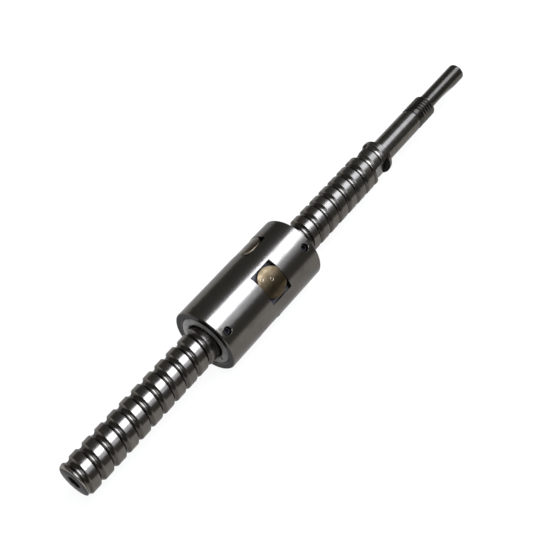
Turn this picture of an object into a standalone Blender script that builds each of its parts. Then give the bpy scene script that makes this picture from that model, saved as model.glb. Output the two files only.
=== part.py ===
"""Ball screw with a plain cylindrical nut: the ground shaft, the nut and every piece that the nut holds.

Metres, +Z up. +X runs along the screw axis to the drive end, and the origin is on the axis in the
plane of the bearing shoulder. Every piece is built in a turning frame whose local Z is that axis:
a height there is a place along the screw, and an angle is measured from straight up towards -Y.
"""

import math

import bmesh
import bpy
import numpy as np
from mathutils import Matrix, Vector

MM = 0.001

# Thread, shared by the shaft and the nut. The helix is left-handed, as the photograph shows it.
LEAD = 5.0 * MM
BALL_D = 2.381 * MM
BALL_ABOVE_CREST = 0.55 * MM
GROOVE_CLEARANCE = 0.1 * MM
GROOVE_SIDES = 10
TURN_STEPS = 20
PATH_STEPS = 1440
HELIX_START = math.radians(4)

# Shaft, from the free end to the drive end
THREAD_LENGTH = 145.2 * MM
THREAD_OD = 11.6 * MM
END_CHAMFER_LENGTH = 1.2 * MM
END_CHAMFER_DEPTH = 0.85 * MM
CENTRE_HOLE_D = 4.4 * MM
CENTRE_PILOT_D = 3.6 * MM
CENTRE_PILOT_DEPTH = 6.0 * MM
CENTRE_ANGLE = math.radians(60)
JOURNAL_D = 8.0 * MM
JOURNAL_LENGTH = 19.0 * MM
RELIEF_D = 7.2 * MM
RELIEF_LENGTH = 1.0 * MM
LOCKNUT_THREAD_D = 7.9 * MM
LOCKNUT_THREAD_LENGTH = 8.8 * MM
LOCKNUT_CHAMFER = 0.7 * MM
NECK_D = 5.2 * MM
NECK_LENGTH = 1.6 * MM
DRIVE_D = 6.0 * MM
DRIVE_LENGTH = 18.9 * MM
DRIVE_CHAMFER = 0.35 * MM
DRIVE_CENTRE_D = 2.2 * MM
DRIVE_FLAT_DEPTH = 0.7 * MM
DRIVE_FLAT_LENGTH = 5.6 * MM
DRIVE_FLAT_RUNOUT = 8.5 * MM
RUNOUT_STEPS = 6
SPANNER_FLAT_GAP = 8.0 * MM
SPANNER_FLAT_LENGTH = 6.9 * MM
COLLAR_LENGTH = 1.5 * MM
SHAFT_ROLL = math.radians(96.5)
DRIVE_FLAT_ANGLE = math.radians(13)

# Nut body
NUT_CHAMFER = 0.4 * MM
NUT_BORE_CLEARANCE = 0.3 * MM
NUT_END_WALL = 2.25 * MM
NUT_REST = -69.0 * MM
NUT_ROLL = math.radians(38)

# Ball circuits: one turn each, closed by a deflector
CIRCUITS = 4
CIRCUIT_ANGLE = math.radians(-90)
CIRCUITS_OFFSET = -0.33 * MM
BALLS_PER_CIRCUIT = 12
CROSSOVER_HALF_ANGLE = math.radians(42)
CHANNEL_HALF_ANGLE = math.radians(80)
CHANNEL_STEPS = 24
CREST_CLEARANCE = 0.15 * MM
POCKET_LENGTH = 8.8 * MM
POCKET_WIDTH = 10.7 * MM
POCKET_CLEARANCE = 0.1 * MM
POCKET_LEDGE = 1.5 * MM
DEFLECTOR_D = 9.7 * MM
DEFLECTOR_PLATE = 0.7 * MM
DEFLECTOR_SINK = 0.12 * MM

# Wipers and their set screws
WIPER_SHAFT_CLEARANCE = 0.45 * MM
WIPER_WALL = 2.35 * MM
WIPER_LAND = 2.975 * MM
WIPER_LENGTH = 4.0 * MM
WIPER_RECESS = 0.4 * MM
WIPER_CLEARANCE = 0.15 * MM
WIPER_GROOVE_DEPTH = 0.8 * MM
WIPER_SLIT_WIDTH = 0.7 * MM
WIPER_SLIT_DEPTH = 1.1 * MM
WIPER_SLIT_ANGLE = math.radians(82)
SET_SCREW_D = 2.3 * MM
SET_SCREW_LENGTH = 2.0 * MM
SET_SCREW_PLACE = 2.85 * MM
SET_SCREW_TIP_D = 0.8 * MM
SET_SCREW_HOLE_D = 2.5 * MM
SET_SCREW_CHAMFER = 0.2 * MM
SET_SCREW_SOCKET = 1.3 * MM
SET_SCREW_SOCKET_DEPTH = 0.9 * MM
TIP_GAP = 0.2 * MM

PAST = 2.0 * MM
MERGE = 0.000001
ROUND_SIDES = 40
PLUG_SIDES = 32
SMALL_SIDES = 16
HEXAGON = 6
TUBE_RESOLUTION = 4
BALL_SUBDIVISIONS = 2

GROOVE_RADIUS = BALL_D / 2 + GROOVE_CLEARANCE
BALL_CIRCLE_RADIUS = THREAD_OD / 2 + BALL_ABOVE_CREST
NUT_BORE_D = THREAD_OD + 2 * NUT_BORE_CLEARANCE
POCKET_FLOOR = NUT_BORE_D / 2 + POCKET_LEDGE
WIPER_BORE_D = THREAD_OD + 2 * WIPER_SHAFT_CLEARANCE
WIPER_OD = WIPER_BORE_D + 2 * WIPER_WALL
NUT_OD = WIPER_OD + 2 * (WIPER_CLEARANCE + NUT_END_WALL)
WIPER_SEAT_DEPTH = WIPER_RECESS + WIPER_LENGTH + WIPER_CLEARANCE
CIRCUIT_STEP = LEAD * (1 - CIRCUIT_ANGLE / (2 * math.pi))
NUT_LENGTH = (CIRCUITS - 1) * CIRCUIT_STEP + POCKET_LENGTH + 2 * (WIPER_LAND + WIPER_SEAT_DEPTH)
SHAFT_END = JOURNAL_LENGTH + RELIEF_LENGTH + LOCKNUT_THREAD_LENGTH + NECK_LENGTH + DRIVE_LENGTH

COLOURS = {
    "ground_steel": ((0.45, 0.45, 0.44), 0.28, 1.0),
    "satin_steel": ((0.42, 0.41, 0.40), 0.38, 1.0),
    "bronze": ((0.42, 0.33, 0.20), 0.42, 1.0),
    "wiper_resin": ((0.36, 0.34, 0.31), 0.55, 0.0),
    "black_oxide": ((0.02, 0.02, 0.022), 0.45, 0.8),
    "ball_steel": ((0.62, 0.62, 0.63), 0.10, 1.0),
}


def clear_scene():
    for obj in list(bpy.data.objects):
        bpy.data.objects.remove(obj, do_unlink=True)


def new_collection(name):
    collection = bpy.data.collections.new(name)
    bpy.context.scene.collection.children.link(collection)
    return collection


def new_material(name):
    colour, roughness, metallic = COLOURS[name]
    material = bpy.data.materials.new(name)
    material.use_nodes = True
    shader = material.node_tree.nodes["Principled BSDF"]
    shader.inputs["Base Color"].default_value = (*colour, 1)
    shader.inputs["Roughness"].default_value = roughness
    shader.inputs["Metallic"].default_value = metallic
    return material


def add_object(name, mesh, parent, collection, matrix=None):
    obj = bpy.data.objects.new(name, mesh)
    collection.objects.link(obj)
    obj.parent = parent
    if matrix is not None:
        obj.matrix_basis = matrix
    return obj


def add_empty(name, parent, collection, matrix):
    return add_object(name, None, parent, collection, matrix)


def finish(obj, material, sharp_angle=30):
    """Gives a piece its material and smooth round faces."""
    obj.data.materials.append(material)
    obj.data.shade_smooth()
    obj.data.set_sharp_from_angle(angle=math.radians(sharp_angle))
    return obj


def as_cutter(obj):
    obj.hide_render = True
    obj.display_type = "WIRE"
    return obj


def boolean(obj, other, operation="DIFFERENCE"):
    modifier = obj.modifiers.new(f"{operation.lower()} {other.name}", "BOOLEAN")
    modifier.operation = operation
    modifier.object = other
    modifier.solver = "EXACT"


def bake(obj):
    """Replaces a piece's mesh by the result of its modifiers."""
    bpy.context.view_layer.update()
    evaluated = obj.evaluated_get(bpy.context.evaluated_depsgraph_get())
    mesh = bpy.data.meshes.new_from_object(evaluated)
    obj.modifiers.clear()
    obj.data = mesh
    return mesh


def outward(mesh):
    """Points every face out."""
    work = bmesh.new()
    work.from_mesh(mesh)
    bmesh.ops.recalc_face_normals(work, faces=work.faces)
    work.to_mesh(mesh)
    work.free()


def turned_mesh(name, profile, ring=False, sides=ROUND_SIDES):
    """A body of revolution about local Z: (radius, height) points, outer side from the top down."""
    mesh = bpy.data.meshes.new(name)
    edges = [(i, i + 1) for i in range(len(profile) - 1)]
    if ring:
        edges.append((len(profile) - 1, 0))
    mesh.from_pydata([(radius, 0, height) for radius, height in profile], edges, [])
    obj = bpy.data.objects.new(name, mesh)
    bpy.context.scene.collection.objects.link(obj)
    screw = obj.modifiers.new("Turn", "SCREW")
    screw.steps = screw.render_steps = sides
    screw.use_merge_vertices = True
    screw.merge_threshold = MERGE
    turned = bake(obj)
    bpy.data.objects.remove(obj)
    outward(turned)
    return turned


def helix_mesh(name, first_height, turns):
    """The raceway's closed tube, down a left-handed helix about local Z from angle 0."""
    mesh = bpy.data.meshes.new(name)
    corners = [2 * math.pi * (i + 0.5) / GROOVE_SIDES for i in range(GROOVE_SIDES)]
    points = [
        (BALL_CIRCLE_RADIUS + GROOVE_RADIUS * math.cos(c), 0, first_height + GROOVE_RADIUS * math.sin(c))
        for c in corners
    ]
    mesh.from_pydata(points, [(i, (i + 1) % GROOVE_SIDES) for i in range(GROOVE_SIDES)], [])
    obj = bpy.data.objects.new(name, mesh)
    bpy.context.scene.collection.objects.link(obj)
    screw = obj.modifiers.new("Helix", "SCREW")
    screw.steps = screw.render_steps = TURN_STEPS
    screw.iterations = turns
    screw.screw_offset = -LEAD
    tube = bake(obj)
    bpy.data.objects.remove(obj)
    work = bmesh.new()
    work.from_mesh(tube)
    open_edges = [edge for edge in work.edges if edge.is_boundary]
    bmesh.ops.holes_fill(work, edges=open_edges, sides=0)
    bmesh.ops.recalc_face_normals(work, faces=work.faces)
    work.to_mesh(tube)
    work.free()
    return tube


def add_raceway(name, low, high, height_at_zero, parent, cutters):
    """The raceway from one height to another, through a given height at angle 0."""
    height = height_at_zero - LEAD * HELIX_START / (2 * math.pi)
    first = height + LEAD * math.ceil((high - height) / LEAD)
    turns = math.ceil((first - low) / LEAD)
    frame = Matrix.Rotation(HELIX_START, 4, "Z")
    return as_cutter(add_object(name, helix_mesh(name, first, turns), parent, cutters, frame))


def box_mesh(name, low, high):
    work = bmesh.new()
    size = Vector(high) - Vector(low)
    middle = (Vector(high) + Vector(low)) / 2
    bmesh.ops.create_cube(work, size=1, matrix=Matrix.Translation(middle) @ Matrix.Diagonal((*size, 1)))
    mesh = bpy.data.meshes.new(name)
    work.to_mesh(mesh)
    work.free()
    return mesh


def radial(angle, height):
    """A frame on the axis whose Z points out at an angle and whose X runs along the screw."""
    outward_axis = Vector((math.cos(angle), math.sin(angle), 0))
    along = Vector((0, 0, 1))
    frame = Matrix((along, outward_axis.cross(along), outward_axis)).transposed().to_4x4()
    return Matrix.Translation((0, 0, height)) @ frame


def shaft_profile():
    """The shaft before its groove and flats are cut, from the drive end down to the free end."""
    thread_end = JOURNAL_LENGTH + RELIEF_LENGTH + LOCKNUT_THREAD_LENGTH
    thread_start = JOURNAL_LENGTH + RELIEF_LENGTH
    cone = math.tan(CENTRE_ANGLE / 2)
    free = -THREAD_LENGTH
    pilot = CENTRE_PILOT_D / 2
    pilot_start = free + (CENTRE_HOLE_D / 2 - pilot) / cone
    pilot_end = free + CENTRE_PILOT_DEPTH
    return [
        (0, SHAFT_END - DRIVE_CENTRE_D / 2 / cone),
        (DRIVE_CENTRE_D / 2, SHAFT_END),
        (DRIVE_D / 2 - DRIVE_CHAMFER, SHAFT_END),
        (DRIVE_D / 2, SHAFT_END - DRIVE_CHAMFER),
        (DRIVE_D / 2, thread_end + NECK_LENGTH),
        (NECK_D / 2, thread_end + NECK_LENGTH - (DRIVE_D - NECK_D) / 2),
        (NECK_D / 2, thread_end),
        (LOCKNUT_THREAD_D / 2 - LOCKNUT_CHAMFER / 2, thread_end),
        (LOCKNUT_THREAD_D / 2, thread_end - LOCKNUT_CHAMFER / 2),
        (LOCKNUT_THREAD_D / 2, thread_start + LOCKNUT_CHAMFER),
        (RELIEF_D / 2, thread_start),
        (RELIEF_D / 2, JOURNAL_LENGTH),
        (JOURNAL_D / 2, JOURNAL_LENGTH),
        (JOURNAL_D / 2, 0),
        (THREAD_OD / 2, 0),
        (THREAD_OD / 2, free + END_CHAMFER_LENGTH),
        (THREAD_OD / 2 - END_CHAMFER_DEPTH, free),
        (CENTRE_HOLE_D / 2, free),
        (pilot, pilot_start),
        (pilot, pilot_end),
        (0, pilot_end + pilot * cone),
    ]


def raceway_height():
    """Where the raceway's middle line passes angle 0 of the nut's own frame: half a lead from each circuit."""
    angle, height = deflector_place(0)
    return height + LEAD / 2 + LEAD * angle / (2 * math.pi)


def deflector_place(index):
    """A deflector's angle and height in the nut's own frame. The third is in line with the set screws."""
    height = (index - (CIRCUITS - 1) / 2) * CIRCUIT_STEP
    return CIRCUIT_ANGLE * (index - 2), height + CIRCUITS_OFFSET


def add_shaft(axis, parts, cutters, material):
    turned = turned_mesh("screw_shaft", shaft_profile(), sides=TURN_STEPS)
    shaft = add_object("screw_shaft", turned, axis, parts)

    height = NUT_REST + raceway_height() + LEAD * NUT_ROLL / (2 * math.pi)
    boolean(shaft, add_raceway("shaft_groove", -THREAD_LENGTH - LEAD, 0, height, axis, cutters))

    flat_end = -COLLAR_LENGTH
    for side, turn in (("front", 0), ("back", math.pi)):
        block = box_mesh(
            f"spanner_flat_{side}",
            (flat_end - SPANNER_FLAT_LENGTH, -THREAD_OD, SPANNER_FLAT_GAP / 2),
            (flat_end, THREAD_OD, THREAD_OD),
        )
        frame = radial(SHAFT_ROLL + turn, 0)
        boolean(shaft, as_cutter(add_object(f"spanner_flat_{side}", block, axis, cutters, frame)))

    drive_start = SHAFT_END - DRIVE_LENGTH
    flat = as_cutter(
        add_object(
            "drive_flat",
            drive_flat_mesh(drive_start),
            axis,
            cutters,
            radial(SHAFT_ROLL + DRIVE_FLAT_ANGLE, 0),
        )
    )
    boolean(shaft, flat)
    return finish(shaft, material)


def drive_flat_mesh(start):
    """A flat that runs out in the arc of its milling cutter."""
    level = DRIVE_D / 2 - DRIVE_FLAT_DEPTH
    full = start + DRIVE_FLAT_LENGTH
    arc_radius = (DRIVE_FLAT_RUNOUT**2 + DRIVE_FLAT_DEPTH**2) / (2 * DRIVE_FLAT_DEPTH)
    reach = math.sqrt(arc_radius**2 - (arc_radius - 2 * DRIVE_FLAT_DEPTH) ** 2)
    outline = [(start - NECK_LENGTH / 2, level + 2 * DRIVE_FLAT_DEPTH), (start - NECK_LENGTH / 2, level)]
    for i in range(RUNOUT_STEPS + 1):
        along = reach * i / RUNOUT_STEPS
        outline.append((full + along, level + arc_radius - math.sqrt(arc_radius**2 - along**2)))
    work = bmesh.new()
    corners = [work.verts.new((x, -DRIVE_D, z)) for x, z in outline]
    face = work.faces.new(corners)
    grown = bmesh.ops.extrude_face_region(work, geom=[face])["geom"]
    moved = [item for item in grown if isinstance(item, bmesh.types.BMVert)]
    bmesh.ops.translate(work, verts=moved, vec=(0, 2 * DRIVE_D, 0))
    bmesh.ops.recalc_face_normals(work, faces=work.faces)
    mesh = bpy.data.meshes.new("drive_flat")
    work.to_mesh(mesh)
    work.free()
    return mesh


def nut_profile():
    half = NUT_LENGTH / 2
    seat = half - WIPER_SEAT_DEPTH
    counterbore = WIPER_OD / 2 + WIPER_CLEARANCE
    outer = NUT_OD / 2
    bore = NUT_BORE_D / 2
    return [
        (counterbore, half),
        (outer - NUT_CHAMFER, half),
        (outer, half - NUT_CHAMFER),
        (outer, -half + NUT_CHAMFER),
        (outer - NUT_CHAMFER, -half),
        (counterbore, -half),
        (counterbore, -seat),
        (bore, -seat),
        (bore, seat),
        (counterbore, seat),
    ]


def add_nut_body(nut, parts, cutters, material):
    body = add_object("nut_body", turned_mesh("nut_body", nut_profile(), ring=True), nut, parts)

    for index in range(CIRCUITS):
        name = f"deflector_pocket_{index + 1}"
        pocket = deflector_form(name, index, 0, NUT_OD / 2 + PAST, nut, cutters)
        boolean(body, as_cutter(pocket))

    for side, sign in (("free_end", -1), ("drive_end", 1)):
        name = f"set_screw_hole_{side}"
        hole = SET_SCREW_HOLE_D / 2
        top = NUT_OD / 2
        profile = [
            (0, top + PAST),
            (hole + SET_SCREW_CHAMFER + PAST, top + PAST),
            (hole, top - SET_SCREW_CHAMFER),
            (hole, WIPER_OD / 2 - WIPER_CLEARANCE),
            (0, WIPER_OD / 2 - WIPER_CLEARANCE),
        ]
        frame = radial(0, sign * (NUT_LENGTH / 2 - SET_SCREW_PLACE))
        cutter = add_object(name, turned_mesh(name, profile, sides=SMALL_SIDES), nut, cutters, frame)
        boolean(body, as_cutter(cutter))

    half = NUT_LENGTH / 2
    boolean(body, add_raceway("nut_raceway", -half, half, raceway_height(), nut, cutters))
    return finish(body, material)


def circuit_point(index, angle):
    """A ball centre of a circuit. Between the crossover's ends it is lifted over the shaft's crest."""
    place_angle, place_height = deflector_place(index)
    along = place_height - LEAD * angle / (2 * math.pi)
    radius = BALL_CIRCLE_RADIUS
    share = max(-1, min(1, angle / CROSSOVER_HALF_ANGLE))
    along += LEAD / 2 * (1.5 * share - 0.5 * share**3)
    lift = THREAD_OD / 2 + BALL_D / 2 + CREST_CLEARANCE - BALL_CIRCLE_RADIUS
    radius += lift * (1 - share**2) ** 2
    turned = place_angle + angle
    return Vector((radius * math.cos(turned), radius * math.sin(turned), along))


def channel_mesh(index, name):
    """The S-shaped return channel of a deflector, as a tube along its ball path."""
    reach = CHANNEL_HALF_ANGLE
    steps = CHANNEL_STEPS
    curve = bpy.data.curves.new(name, "CURVE")
    curve.dimensions = "3D"
    curve.bevel_depth = GROOVE_RADIUS
    curve.bevel_resolution = TUBE_RESOLUTION
    curve.use_fill_caps = True
    spline = curve.splines.new("POLY")
    spline.points.add(steps)
    for i, point in enumerate(spline.points):
        place = circuit_point(index, reach * (2 * i / steps - 1))
        point.co = (*place, 1)
    obj = bpy.data.objects.new(name, curve)
    bpy.context.scene.collection.objects.link(obj)
    bpy.context.view_layer.update()
    mesh = bpy.data.meshes.new_from_object(obj.evaluated_get(bpy.context.evaluated_depsgraph_get()))
    bpy.data.objects.remove(obj)
    work = bmesh.new()
    work.from_mesh(mesh)
    bmesh.ops.remove_doubles(work, verts=work.verts, dist=MERGE)
    bmesh.ops.recalc_face_normals(work, faces=work.faces)
    work.to_mesh(mesh)
    work.free()
    return mesh


def deflector_form(name, index, clearance, plate_top, nut, collection):
    """A round plug with two flats, and a square plate round it: the pocket's form and the deflector's."""
    frame = radial(*deflector_place(index))
    reach = NUT_OD
    radius = DEFLECTOR_D / 2 + POCKET_CLEARANCE - clearance
    plug_profile = [(0, reach), (radius, reach), (radius, 0), (0, 0)]
    form = add_object(name, turned_mesh(name, plug_profile, sides=PLUG_SIDES), nut, collection, frame)

    half_width = POCKET_WIDTH / 2 - clearance
    plate = box_mesh(
        f"{name}_plate",
        (-POCKET_LENGTH, -half_width, POCKET_FLOOR + clearance),
        (POCKET_LENGTH, half_width, plate_top),
    )
    cutters = bpy.data.collections["cutters"]
    boolean(form, as_cutter(add_object(f"{name}_plate", plate, nut, cutters, frame)), "UNION")

    half_length = POCKET_LENGTH / 2 - clearance
    sides = box_mesh(f"{name}_sides", (-half_length, -reach, -PAST), (half_length, reach, 2 * reach))
    boolean(form, as_cutter(add_object(f"{name}_sides", sides, nut, cutters, frame)), "INTERSECT")
    return form


def add_deflector(index, nut, parts, cutters, material):
    """A bronze button that fills its pocket and turns the balls back by one lead."""
    name = f"deflector_{index + 1}"
    plate_top = POCKET_FLOOR + DEFLECTOR_PLATE
    deflector = deflector_form(name, index, POCKET_CLEARANCE, plate_top, nut, parts)

    height = deflector_place(index)[1]
    outer = NUT_OD / 2 - DEFLECTOR_SINK
    inner = NUT_BORE_D / 2
    shell_profile = [
        (outer, height + POCKET_LENGTH),
        (outer, height - POCKET_LENGTH),
        (inner, height - POCKET_LENGTH),
        (inner, height + POCKET_LENGTH),
    ]
    shell = turned_mesh(f"{name}_shell", shell_profile, ring=True)
    boolean(deflector, as_cutter(add_object(f"{name}_shell", shell, nut, cutters)), "INTERSECT")

    channel_name = f"{name}_channel"
    channel = add_object(channel_name, channel_mesh(index, channel_name), nut, cutters)
    boolean(deflector, as_cutter(channel))
    return finish(deflector, material)


def circuit_centres(index):
    """Ball centres, evenly spaced along the closed path of one circuit."""
    path = [circuit_point(index, angle) for angle in circuit_angles()]
    points = np.array([tuple(point) for point in path])
    steps = np.linalg.norm(np.diff(points, axis=0), axis=1)
    travelled = np.concatenate([[0], np.cumsum(steps)])
    wanted = travelled[-1] * np.arange(BALLS_PER_CIRCUIT) / BALLS_PER_CIRCUIT
    centres = np.stack([np.interp(wanted, travelled, column) for column in points.T], axis=1)
    return [Vector(centre) for centre in centres]


def circuit_angles():
    """Angles from the middle of the deflector, once round and back to it."""
    return [2 * math.pi * i / PATH_STEPS - math.pi for i in range(PATH_STEPS + 1)]


def ball_mesh():
    work = bmesh.new()
    bmesh.ops.create_icosphere(work, subdivisions=BALL_SUBDIVISIONS, radius=BALL_D / 2)
    mesh = bpy.data.meshes.new("ball")
    work.to_mesh(mesh)
    work.free()
    return mesh


def add_balls(nut, parts, material):
    mesh = ball_mesh()
    mesh.materials.append(material)
    mesh.shade_smooth()
    for index in range(CIRCUITS):
        for number, centre in enumerate(circuit_centres(index)):
            name = f"ball_{index + 1}_{number + 1:02d}"
            add_object(name, mesh, nut, parts, Matrix.Translation(centre))


def add_wiper(side, sign, nut, parts, cutters, material):
    """A ring in the counterbore, with a groove round it for the set screw's tip."""
    name = f"wiper_{side}"
    outer = WIPER_OD / 2
    inner = WIPER_BORE_D / 2
    top = NUT_LENGTH / 2 - WIPER_RECESS
    bottom = top - WIPER_LENGTH
    groove = NUT_LENGTH / 2 - SET_SCREW_PLACE
    half_groove = WIPER_GROOVE_DEPTH + SET_SCREW_TIP_D / 2
    profile = [
        (inner, top),
        (outer, top),
        (outer, groove + half_groove),
        (outer - WIPER_GROOVE_DEPTH, groove + SET_SCREW_TIP_D / 2),
        (outer - WIPER_GROOVE_DEPTH, groove - SET_SCREW_TIP_D / 2),
        (outer, groove - half_groove),
        (outer, bottom),
        (inner, bottom),
    ]
    mesh = turned_mesh(name, [(radius, sign * height) for radius, height in profile], ring=True)
    wiper = add_object(name, mesh, nut, parts)
    if sign < 0:
        slit_name = f"{name}_slit"
        slit = box_mesh(
            slit_name,
            (-top - PAST, -WIPER_SLIT_WIDTH / 2, 0),
            (-bottom + PAST, WIPER_SLIT_WIDTH / 2, inner + WIPER_SLIT_DEPTH),
        )
        frame = radial(WIPER_SLIT_ANGLE, 0)
        boolean(wiper, as_cutter(add_object(slit_name, slit, nut, cutters, frame)))
    return finish(wiper, material)


def add_set_screw(side, sign, nut, parts, cutters, material):
    """A socket set screw whose cone sits in the wiper's groove."""
    name = f"wiper_set_screw_{side}"
    tip = WIPER_OD / 2 - WIPER_GROOVE_DEPTH + TIP_GAP
    head = tip + SET_SCREW_LENGTH
    radius = SET_SCREW_D / 2
    tip_radius = SET_SCREW_TIP_D / 2 - TIP_GAP / 2
    profile = [
        (0, head),
        (radius - SET_SCREW_CHAMFER, head),
        (radius, head - SET_SCREW_CHAMFER),
        (radius, tip + radius - tip_radius),
        (tip_radius, tip),
        (0, tip),
    ]
    frame = radial(0, sign * (NUT_LENGTH / 2 - SET_SCREW_PLACE))
    set_screw = add_object(name, turned_mesh(name, profile, sides=SMALL_SIDES), nut, parts, frame)
    socket_radius = SET_SCREW_SOCKET / math.sqrt(3)
    floor = head - SET_SCREW_SOCKET_DEPTH
    socket_profile = [(0, head + PAST), (socket_radius, head + PAST), (socket_radius, floor), (0, floor)]
    socket_name = f"{name}_socket"
    socket_mesh = turned_mesh(socket_name, socket_profile, sides=HEXAGON)
    socket = add_object(socket_name, socket_mesh, nut, cutters, frame)
    boolean(set_screw, as_cutter(socket))
    return finish(set_screw, material)


def build():
    clear_scene()
    parts = new_collection("ball_screw")
    cutters = new_collection("cutters")
    materials = {name: new_material(name) for name in COLOURS}

    # Local Z is the screw axis, along world +X, and local X is straight up.
    turning = Matrix(((0, 0, 1), (0, -1, 0), (1, 0, 0))).to_4x4()
    axis = add_empty("screw_axis", None, parts, turning)
    nut_frame = Matrix.Translation((0, 0, NUT_REST)) @ Matrix.Rotation(NUT_ROLL, 4, "Z")
    nut = add_empty("nut_axis", axis, parts, nut_frame)

    add_shaft(axis, parts, cutters, materials["ground_steel"])
    add_nut_body(nut, parts, cutters, materials["satin_steel"])
    for index in range(CIRCUITS):
        add_deflector(index, nut, parts, cutters, materials["bronze"])
    add_balls(nut, parts, materials["ball_steel"])
    for side, sign in (("free_end", -1), ("drive_end", 1)):
        add_wiper(side, sign, nut, parts, cutters, materials["wiper_resin"])
        add_set_screw(side, sign, nut, parts, cutters, materials["black_oxide"])


build()
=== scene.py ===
"""Looks of a left-hand ball screw with a plain cylindrical nut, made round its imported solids.

Metres. +X runs along the screw to the drive end, +Z is up, and the origin is on the axis in the plane of
the bearing shoulder. Angles round the axis are measured from +Y towards +Z.
"""

import math

import bpy
from bpy.props import FloatProperty, FloatVectorProperty, IntProperty, PointerProperty
from mathutils import Matrix, Vector


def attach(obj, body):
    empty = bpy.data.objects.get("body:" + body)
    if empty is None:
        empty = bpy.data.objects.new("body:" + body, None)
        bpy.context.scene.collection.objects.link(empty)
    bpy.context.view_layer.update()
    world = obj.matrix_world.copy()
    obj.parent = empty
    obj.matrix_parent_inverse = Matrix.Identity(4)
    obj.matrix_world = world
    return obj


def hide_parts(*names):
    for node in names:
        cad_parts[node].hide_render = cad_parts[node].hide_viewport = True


bl_info = {
    "name": "Ball screw looks",
    "version": (1, 0, 0),
    "blender": (4, 5, 0),
    "location": "View3D > Sidebar > Ball screw",
    "description": "Models a ball screw's shaft, nut, deflectors, wipers and set screws, and its studio",
    "category": "Mesh",
}

MM = 0.001
TURN = 2 * math.pi

# The angle of +Z round the axis
UP_ANGLE = math.radians(90)
# Stands a turned piece on its +X end, and lays a cylinder along the screw
QUARTER_TURN = Matrix.Rotation(UP_ANGLE, 4, "Y")
# Corners closer than this are merged
WELD = 1e-7
# How far a cutter reaches past what it cuts
PROUD = MM
# Places that a material takes for the same are no further apart
COMPARED = 0.05 * MM
# Faces that meet at a smaller angle are shaded as one surface
SMOOTH_ANGLE = math.radians(30)
# Half the angle of a centre drill's cone
CENTRE_ANGLE = math.radians(30)

# Steps round the turned, threaded and drilled forms
SHAFT_STEPS = 96
RACEWAY_STEPS = 72
LOCKNUT_STEPS = 64
NUT_STEPS = 192
WIPER_STEPS = 128
BUTTON_STEPS = 96
CROWN_STEPS = 256
BORE_STEPS = 128
SCREW_HOLE_STEPS = 48
SET_SCREW_STEPS = 40

# Steps along the arcs of the outlines
FLANK_STEPS = 7
ROUNDING_STEPS = 5
RUNOUT_STEPS = 16

# The deflector that faces the way the set screws do, counted from 0 at the free end
SCREW_SIDE = 2
# The middles of the ring-shaped dents in a button, along the screw and round the nut
RING_DENTS = ((-2.3 * MM, 2.8 * MM), (0.3 * MM, 0.85 * MM))

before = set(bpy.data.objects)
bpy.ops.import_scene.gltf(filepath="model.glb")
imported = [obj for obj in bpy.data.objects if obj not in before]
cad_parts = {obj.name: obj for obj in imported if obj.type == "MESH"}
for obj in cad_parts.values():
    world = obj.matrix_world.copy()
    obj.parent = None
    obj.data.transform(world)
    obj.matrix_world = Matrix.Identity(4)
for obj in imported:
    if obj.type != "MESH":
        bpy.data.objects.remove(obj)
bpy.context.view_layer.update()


def length(name, description, default_mm):
    return FloatProperty(
        name=name,
        description=description,
        default=default_mm * MM,
        min=0.0,
        precision=5,
        subtype="DISTANCE",
        unit="LENGTH",
    )


def distance(name, description, default):
    """A place or a size in metres, of either sign."""
    return FloatProperty(
        name=name,
        description=description,
        default=default,
        subtype="DISTANCE",
        unit="LENGTH",
    )


def angle(name, description, default_degrees):
    return FloatProperty(
        name=name,
        description=description,
        default=math.radians(default_degrees),
        subtype="ANGLE",
        unit="ROTATION",
    )


def colour(name, description, default):
    return FloatVectorProperty(
        name=name, description=description, default=default, size=3, min=0.0, max=1.0, subtype="COLOR"
    )


class ThreadSizes(bpy.types.PropertyGroup):
    """The raceway that the shaft and the nut share"""

    lead: length("Lead", "Travel of the nut for one turn of the screw", 5.0)
    crest_radius: length("Crest radius", "Radius of the lands between the grooves", 5.8)
    ball_radius: length("Ball radius", "Radius of a ball", 1.1905)
    ball_circle: length("Ball circle radius", "Radius that the ball centres run on", 6.35)
    groove_radius: length("Groove radius", "Radius of each flank of the gothic groove", 1.3)
    groove_shift: length("Flank shift", "From the middle of the groove to each flank's centre", 0.08)
    edge_break: length("Edge break", "Width of the polished edge between land and groove", 0.1)
    groove_at_top: distance(
        "Groove place", "Where a groove's middle passes the top of the shaft", -3.19 * MM
    )


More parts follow.
